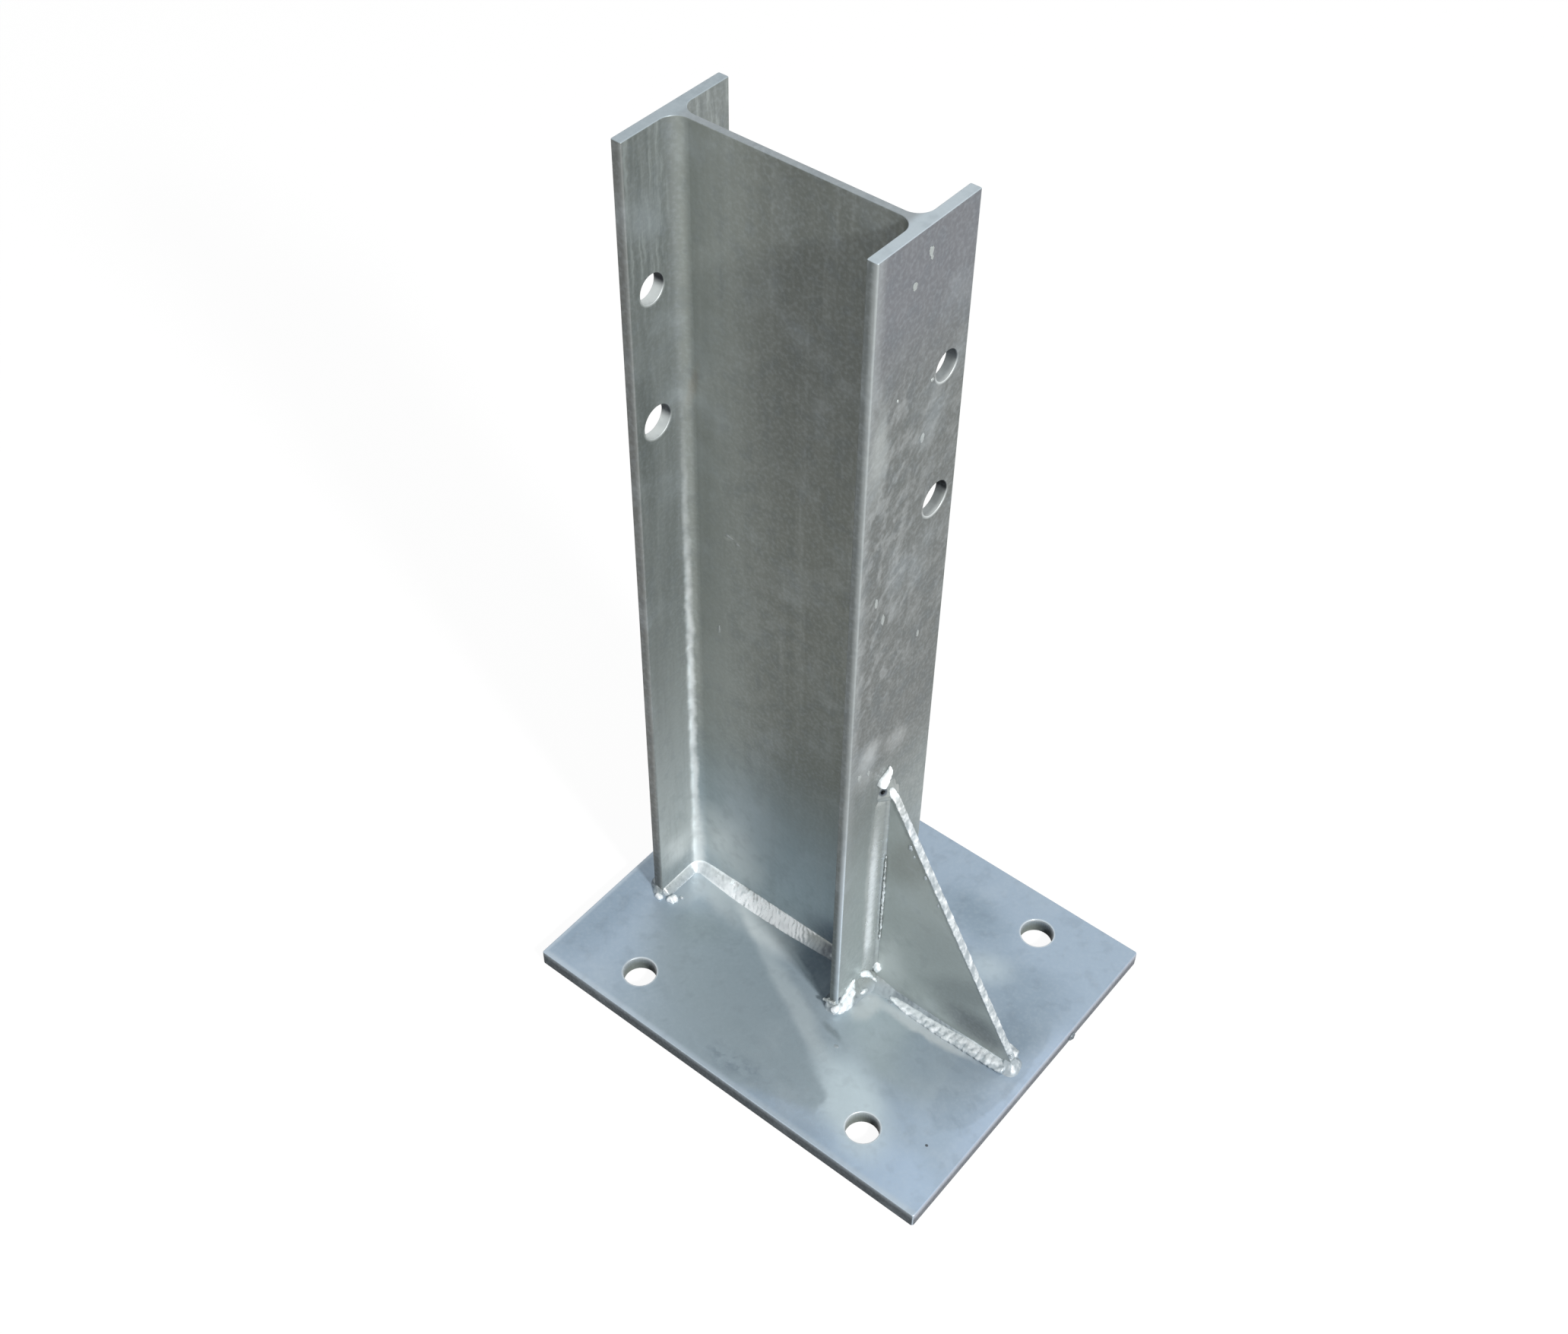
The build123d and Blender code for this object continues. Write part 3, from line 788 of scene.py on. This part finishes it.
# %% [markdown]
# ## The welds outside the flanges
# Outside the plain flange lies one ordinary run. Outside the stiffener's flange the welder had little room, and
# the bead is high, rough and full of drops, with a hollow half way. The runs inside and outside a flange join
# round its tips in small lumps, which are short beads across the flange's end.

# %% Outer foot welds
SIDES = (("near", -1), ("far", 1))

path, way = path_through(((OUTER_LEFT, -FLANGE_TIP, PLATE_TOP), (OUTER_LEFT, FLANGE_TIP, PLATE_TOP)), (WEST,),
                         SKYWARD)
bright = along(way, (0, -0.5), (14, -0.3), (26, 0.35), (60, 0.45), (100, 0.3))
bead("plain_flange", path, way, 9.6 + 0.4 * np.sin(way / 11), 9, bright, ends=(9, 9), ripple=0.28, pitch=5.6,
     slant=6, rough=0.3, seed=31, drops=((-171, 31, 18, 3, 0.8),))

for (where, side), seed in zip(SIDES, (41, 47)):
    path, way = path_through(((OUTER_RIGHT, (FLANGE_TIP + 1.5) * side, PLATE_TOP),
                              (OUTER_RIGHT, GUSSET_FACE / 2 * side, PLATE_TOP)), (EAST,), SKYWARD, 0.35)
    rise = along(way, (0, 9), (5, 13), (9, 17), (16, 21.5), (21, 25), (24.5, 25.5), (28, 19), (32, 17), (40, 14.5),
                 (50, 12))
    reach = along(way, (0, 4), (5, 5.6), (14, 7.4), (22, 8), (32, 9.5), (42, 12.5), (50, 14))
    # painted glint: a white band of painted highlight on the rough part by the tip, the smooth part grey
    bright = along(way, (0, 1), (22, 1.05), (25, 0.4), (28, -0.05))
    rough = along(way, (0, 0.6), (5, 0.8), (22, 0.7), (28, 0.12), (50, 0.06))
    middle = along(way, (0, 0.4), (12, 0.5), (20, 0.74), (25, 0.9))
    width = along(way, (0, 0.6), (12, 0.5), (20, 0.32), (25, 0.16))
    drops = ((37, 43.5 * side, 29, 2.6, 1.2), (40, 44 * side, 18, 2.8, 1.2), (39.5, 37 * side, 21, 3, 1.4),
             (37.5, 36 * side, 30, 2.4, 1), (36.6, 30 * side, 36, 2.2, 0.8), (38.4, 32 * side, 25, 2.6, 1.2))
    bead(f"{where}_flange", path, way, reach, rise, bright, ends=(4, 0), ripple=0.1, pitch=4.5, slant=3,
         rough=rough, seed=seed, drops=drops, around=60, hollow=2.3, band=(middle, width), dim=-0.05)

# %% Lumps round the flange tips
tips = []
for x_low, x_high, tall, bright, seed in ((OUTER_LEFT - 1.5, INNER_LEFT + 1.5, 9, 0, 61),
                                          (INNER_RIGHT - 3.5, OUTER_RIGHT + 2, 14, 0.25, 67)):
    for _, side in SIDES:
        path, way = path_through(((x_low, FLANGE_TIP * side, PLATE_TOP), (x_high, FLANGE_TIP * side, PLATE_TOP)),
                                 ((0, side, 0),), SKYWARD, 0.3)
        tips.append(bead_skin(path, way, 4.4, tall, bright, ends=(4.5, 4.5), ripple=0.05, pitch=4, slant=2,
                              rough=0.5, seed=seed + side, hollow=2.2))
shells("flange_tip_beads", tips)

# %% [markdown]
# ## The welds round the stiffener
# Along its foot the stiffener has a rippled ridge that starts as a smooth grey toe by the flange and grows towards
# the tip, where it wraps round in a blob; the bead under it is painted dim as shade. Up the flange runs a smooth
# bead with a pale painted highlight, a groove against the stiffener painted dark as shade, and a thin line of
# small drops beyond it. A horned lump closes the top, with a pinhole painted black as shade.

# %% Stiffener foot, both sides
for (where, side), seed in zip(SIDES, (71, 79)):
    path, way = path_through(((OUTER_RIGHT + 3, GUSSET_FACE * side, PLATE_TOP),
                              (GUSSET_TOE + 0.5, GUSSET_FACE * side, PLATE_TOP)), ((0, side, 0),), SKYWARD)
    reach = along(way, (0, 14), (14, 13), (24, 13), (100, 13.5), (124, 12), (138, 10))
    rise = along(way, (0, 9), (16, 5), (24, 2.8), (60, 2.8), (84, 3.2), (98, 4.4), (126, 4.8), (138, 5.5))
    # painted glint: the bead's upper part painted dim as shade, brightening towards the tip
    bright = along(way, (0, 0), (12, -0.05), (24, -0.4), (62, -0.4), (84, -0.2), (98, 0.4))
    bead(f"{where}_gusset_foot", path, way, reach, rise, bright, ends=(0, 3), ripple=0.1, pitch=5.6, slant=8,
         rough=0.2, seed=seed, hollow=2.5, band=(0.75, 0.3), dim=0)

# %% Stiffener toe and top
BACK, DOWN = 8, 7  # how far these two welds start along the foot and down the flange
WRAP = ((1, -GUSSET_FACE), (0, -GUSSET_FACE), (0, GUSSET_FACE), (1, GUSSET_FACE))

path, way = path_through([(GUSSET_TOE - BACK * k, y, PLATE_TOP) for k, y in WRAP], (SOUTH, EAST, NORTH), SKYWARD,
                         0.35)
share = way / way[-1]
reach = along(share, (0, 9.6), (0.3, 9.8), (0.5, 8.2), (0.7, 6.5), (1, 6))
rise = along(share, (0, 7), (0.3, 8), (0.6, 7), (1, 5))
bead("gusset_toe", path, way, reach, rise, 0.15, ends=(3, 3), ripple=0.1, pitch=5, slant=3, rough=0.35, seed=83,
     drops=((181, -7.5, 19, 3.6, 1.2), (186, 2.5, 16.5, 2.4, 1.4), (180, -3, 21, 3, 0.6)), hollow=1.8)

path, way = path_through([(OUTER_RIGHT, y, GUSSET_TOP - DOWN * k) for k, y in WRAP], (SOUTH, SKYWARD, NORTH), EAST,
                         0.35)
reach = along(way / way[-1], (0, 8), (0.2, 10.5), (0.36, 12.5), (0.5, 10), (0.7, 8), (1, 6))
# painted shade: a dent whose glint goes black, for the pinhole
pinhole = (36.5, -8.2, 258.2, 3.2, -1.5)
bead("gusset_top", path, way, reach, 6.8, -0.1, ends=(3, 3), ripple=0.05, pitch=5, slant=2, rough=0.25, seed=89,
     drops=(pinhole,), around=44, hollow=2, dim=-0.2)

# %% Stiffener upright, both sides
for (where, side), seed in zip(SIDES, (97, 101)):
    path, way = path_through(((OUTER_RIGHT, GUSSET_FACE * side, PLATE_TOP + 11),
                              (OUTER_RIGHT, GUSSET_FACE * side, GUSSET_TOP - 1)), ((0, side, 0),), EAST, 0.6)
    reach = along(way, (0, 15), (14, 18), (170, 17), (226, 14))
    rise = along(way, (0, 6.4), (60, 6.8), (150, 6.6), (226, 6.4))
    # painted highlight: a pale streak on the bead's flange side; its groove is painted dark as shade
    bright = along(way, (0, 0.1), (20, 0.25), (46, 0.68), (150, 0.68), (190, 0.4), (226, 0.1))
    bead(f"{where}_gusset_upright", path, way, reach, rise, bright, ends=(8, 8), blunt=0.4, ripple=0, pitch=9,
         slant=3, rough=0.06, seed=seed, groove=(0.62, 0.06, 0.2, 0.3), toes=(0, -0.35), hollow=2.7,
         band=(0.36, 0.18), dim=0)

# %% [markdown]
# ## Ropes of zinc
# The sloping edge of the stiffener was cut by flame and came out of the bath with a lumpy lip of zinc, painted
# brighter than the faces beside it as a highlight, since its top catches the light. Thin runs of drops lie along
# some weld toes too, and a horn stands on the top weld. All of them are one shape: a tube along a line, half
# sunk into the steel, with waves that break its outline.

# %% Lip, runs and horn
def rope_skin(points, wide, tall, across, seed, swell, shine, square=1, step=0.35, around=18, beat=0, pitch=5.5,
              lean=0):
    """A tube through points, rounded at its bends and ends. Its section is y = wide * sign(cos) |cos|^square
    along across, and z = tall * sign(sin) |sin|^square square to it. Both swell by swell * waves and by
    crescents of height beat. Sizes and shine, its painted glint, are one number or one for each point. The
    painted glint grows by lean towards across, a painted highlight on the side that faces the light, and is
    painted lower as shade in the crescents' valleys."""
    points = np.array(points, float)
    knots = np.concatenate([[0], np.cumsum(np.linalg.norm(np.diff(points, axis=0), axis=1))])
    way = np.linspace(0, knots[-1], max(8, int(knots[-1] / step)))
    core = np.column_stack([np.interp(way, knots, points[:, k]) for k in range(3)])
    wide, tall, shine, beat = (
        np.interp(way, knots, np.broadcast_to(v, len(points))) for v in (wide, tall, shine, beat))
    for _ in range(12):
        core[1:-1] = (core[:-2] + 2 * core[1:-1] + core[2:]) / 4
    run = unit(np.gradient(core, axis=0))
    side = unit(np.array(across, float) - run * (run @ np.array(across, float))[:, None])
    lift = np.cross(run, side)
    angle = np.linspace(0, 2 * np.pi, around, endpoint=False)
    flat = np.sign(np.cos(angle)) * np.abs(np.cos(angle)) ** square
    high = np.sign(np.sin(angle)) * np.abs(np.sin(angle)) ** square

    def around_core(wide, tall):
        return core[:, None] + side[:, None] * (wide * flat)[..., None] + lift[:, None] * (tall * high)[..., None]

    first = around_core(wide[:, None], tall[:, None])
    push = 0.6 * waves(first, 8, seed) + 0.4 * waves(first, 3.2, seed + 1)
    turn = (way[:, None] + 1.6 * np.cos(angle) ** 2 + 0.8 * waves(first, 12, seed + 2)) / pitch
    crescents = beat[:, None] * (1 - 2 * np.abs(np.sin(np.pi * turn)) ** 0.8)
    close = end_taper(way, 2, 2, least=0.15)[:, None]
    wide, tall = (close * np.maximum(v[:, None] + swell * push - crescents, 0.2 * v[:, None]) for v in (wide, tall))
    return around_core(wide, tall), shine[:, None] + 0.25 * push - 0.6 * crescents + lean * np.cos(angle)


ASLANT = (0.3, 0.2, 0.1)  # for round ropes any direction will do that none of them runs along
lip = ((37.6, -0.6, 258.2), (40.4, -1.2, 254.4), (45, -1, 249.4), (49.5, -1, 241.8), (110, -0.5, 137.3),
       (175.6, 0, 23.4))
ropes = [rope_skin(lip, (2.2, 3.4, 3.4, 3.3, 3.3, 3.3), (1.2, 1.5, 1.1, 0.95, 0.95, 0.95), NORTH, 113, swell=0.18,
                   shine=(0.4, 0.9, 0.6, 0.42, 0.42, 0.42), square=0.6, step=0.45, around=28)]
runs = (
    (((36, -47, 26), (36.2, -42.5, 30.5), (36.2, -35.5, 35.2), (35.9, -28.5, 39.8)), (1.4, 2, 1.9, 1), 1),
    (((36, -20.5, 36), (36.2, -16.7, 34.8), (36.8, -12.9, 31), (37.6, -9.9, 26.6), (38.9, -8.3, 23.7),
      (41, -7.4, 20.8), (43.6, -7.2, 18.6)), (1.8, 3, 3.2, 2.4, 1.5, 1.1, 0.7),
     (0.9, 1.1, 1.1, 0.8, 0.5, 0.4, 0.2)),
    (((40.6, -26, 20), (41.3, -21, 18.9), (41.9, -17, 18.6)), (1.2, 2.1, 1.3), 0.5),
    (((21, -50.6, 22.6), (28.3, -50.9, 26.5), (34, -51, 28.6)), (1.2, 1.6, 1.8), 0.4),
    (((32.8, -53, 17.4), (34.4, -51.6, 20.2), (36, -48.4, 24.2)), (2.6, 3.4, 2.2), 1.3),
    (((41.1, -4.3, 72), (41.3, -4.3, 120), (41.2, -4.2, 182)), (0.6, 0.95, 0.7), 0.45),
)
ridge = ((60, -10, 15), (65, -10, 15.6), (76, -11, 15.8), (100, -11, 15.8), (120, -10.2, 16.2), (136, -9.2, 17),
         (160, -9, 17.4), (175, -8.6, 17))
for (_, side), seed in zip(SIDES, (127, 131)):
    flip = np.array((1, -side, 1))
    for points, radius, shine in runs:
        ropes.append(rope_skin(np.array(points) * flip, radius, radius, ASLANT, seed, swell=0.4, shine=shine))
    ropes.append(rope_skin(np.array(ridge) * flip, (1, 2.6, 4.2, 4.8, 5.6, 6.2, 6, 5),
                           (0.7, 1.4, 2, 2, 2, 2.6, 2.6, 2.4), NORTH, seed + 9, swell=0.24,
                           shine=(1.2, 1.3, 0.85, 0.65, 0.55, 0.6, 0.6, 0.45), around=30,
                           beat=(0, 0, 0.1, 0.2, 0.24, 0.3, 0.28, 0.12), pitch=6.4, lean=-0.35 * side))
horn = ((36.2, -12.3, 267.6), (36.5, -10, 270.8), (36.6, -6.4, 273), (36.5, -3.4, 274.8), (36.2, -1.2, 277.2),
        (35.6, -0.4, 281))
radius = (4, 4.8, 3.8, 3.3, 2.4, 0.6)
ropes.append(rope_skin(horn, radius, radius, EAST, seed=149, swell=0.3, shine=1))
shells("zinc_ropes", ropes)

# %% [markdown]
# ## Nibs and a burr
# A dipped piece is never clean: drops freeze on it while it drains. Small flat domes stand on the outer flange, the
# web and the stiffener, high ones make the lumps at the plain flange's foot, and one burr hangs on the plate's
# right edge. Each is a dome in its own two directions across the face, so one function makes them all. Each is
# painted brighter towards its top as a highlight; a negative shine paints a dome dark instead, as the shade in
# a pit, and the burr dark grey.

# %% Nibs
def dome_skin(centre, across, along_way, wide, long, tall, seed, shine, around=20, rows=9):
    """A dome on a face. Loop k lies at radius sin(a) of the two half widths and at tall * cos(a)^0.9 above it,
    for a from the rim to just short of the top, under a first loop sunk into the steel, all swelled by
    waves."""
    centre, across, along_way = (np.array(v, float) for v in (centre, across, along_way))
    normal = np.cross(across, along_way)
    lift = np.linspace(np.pi / 2, 0.12, rows)[:, None]
    angle = np.linspace(0, 2 * np.pi, around, endpoint=False)[None, :]
    radius, height = np.sin(lift) + 0 * angle, tall * np.cos(lift) ** 0.9 + 0 * angle
    radius = np.concatenate([radius[:1] * 0.8, radius])
    height = np.concatenate([height[:1] - 0.4, height])
    angle = angle + 0 * radius
    flat = (centre + across * (wide * radius * np.cos(angle))[..., None]
            + along_way * (long * radius * np.sin(angle))[..., None])
    swell = 1 + 0.15 * waves(flat, max(2, wide), seed)
    loops = centre + (flat - centre) * swell[..., None] + normal * (height * swell)[..., None]
    # painted glint: shine grows towards the top as a highlight; a negative shine paints the dome dark
    return loops, shine * (0.5 + 0.5 * height / tall)


nibs = []
for y, z, wide, long, tall, shine in (
        (2, 727, 2.4, 3.4, 0.45, 0.15), (-12, 710, 2.2, 3, 0.3, 0), (3, 722, 1.3, 1.5, 0.3, 0.1),
        (-22, 633, 1.1, 1.3, 0.4, 0.3), (14, 628, 1.6, 1.5, 0.5, 0.3), (-38, 300, 2, 3.6, 0.4, 0.2),
        (-27, 296, 1.7, 2.6, 0.4, 0.2), (-14, 222, 1.6, 1.2, 0.5, 0.3), (-31, 470, 1.7, 4.4, 0.25, 0),
        (-22, 448, 1.7, 4.8, 0.25, 0), (8, 586, 2, 3.8, 0.25, 0), (22, 402, 1.5, 3, 0.25, 0)):
    nibs.append(dome_skin((OUTER_RIGHT, y, z), NORTH, SKYWARD, wide, long, tall, int(z), shine))
for x, face, z, wide, long, tall, shine in (
        (-116, WEB_FACE, 422, 4.2, 1.4, 0.35, 0), (-127, WEB_FACE, 322, 1.3, 4.2, 0.3, 0),
        (-108, WEB_FACE, 419, 2, 1.1, 0.25, 0), (62, GUSSET_FACE, 208, 1.8, 3, 0.8, 0.4),
        (78, GUSSET_FACE, 184, 1.5, 2.6, 0.7, 0.4), (66, GUSSET_FACE, 200, 1.1, 1.6, 0.4, 0.4),
        (92, GUSSET_FACE, 160, 1.2, 2, 0.4, 0.4)):
    nibs.append(dome_skin((x, -face, z), EAST, SKYWARD, wide, long, tall, int(z), shine))
nibs += [dome_skin(*nib) for nib in (
    ((39.8, -3, 34), EAST, SKYWARD, 5, 5.8, 4.2, 8, 1.3),
    ((35, -47, 31.4), NORTH, SKYWARD, 1.9, 2.4, 0.4, 14, -1),
    ((63, -14, 15), EAST, NORTH, 2.6, 1.8, 0.5, 15, -0.25),
    ((35, -12, 49), NORTH, SKYWARD, 3.2, 1.6, 0.8, 13, 0.4),
    ((-146, -49, 15), EAST, NORTH, 5, 4.4, 5, 9, 1.3),
    ((-157, -53.6, 15), EAST, NORTH, 3.8, 3.2, 3.6, 10, 1.1),
    ((-141, -42, 15), EAST, NORTH, 1.8, 1.6, 1.8, 11, 0.6),
    ((175, -3, 30), EAST, SKYWARD, 1.6, 2.4, 0.8, 12, 0.5),
    ((195, 60, 5.5), NORTH, SKYWARD, 3.4, 3, 2.5, 5, -0.7),
    ((55, -76, 15), EAST, NORTH, 2, 1.5, 0.3, 7, 0),
)]
shells("zinc_nibs", nibs)

# %% The solids' box, as lists
solid_low, solid_high = [list(v) for v in (solid_low, solid_high)]
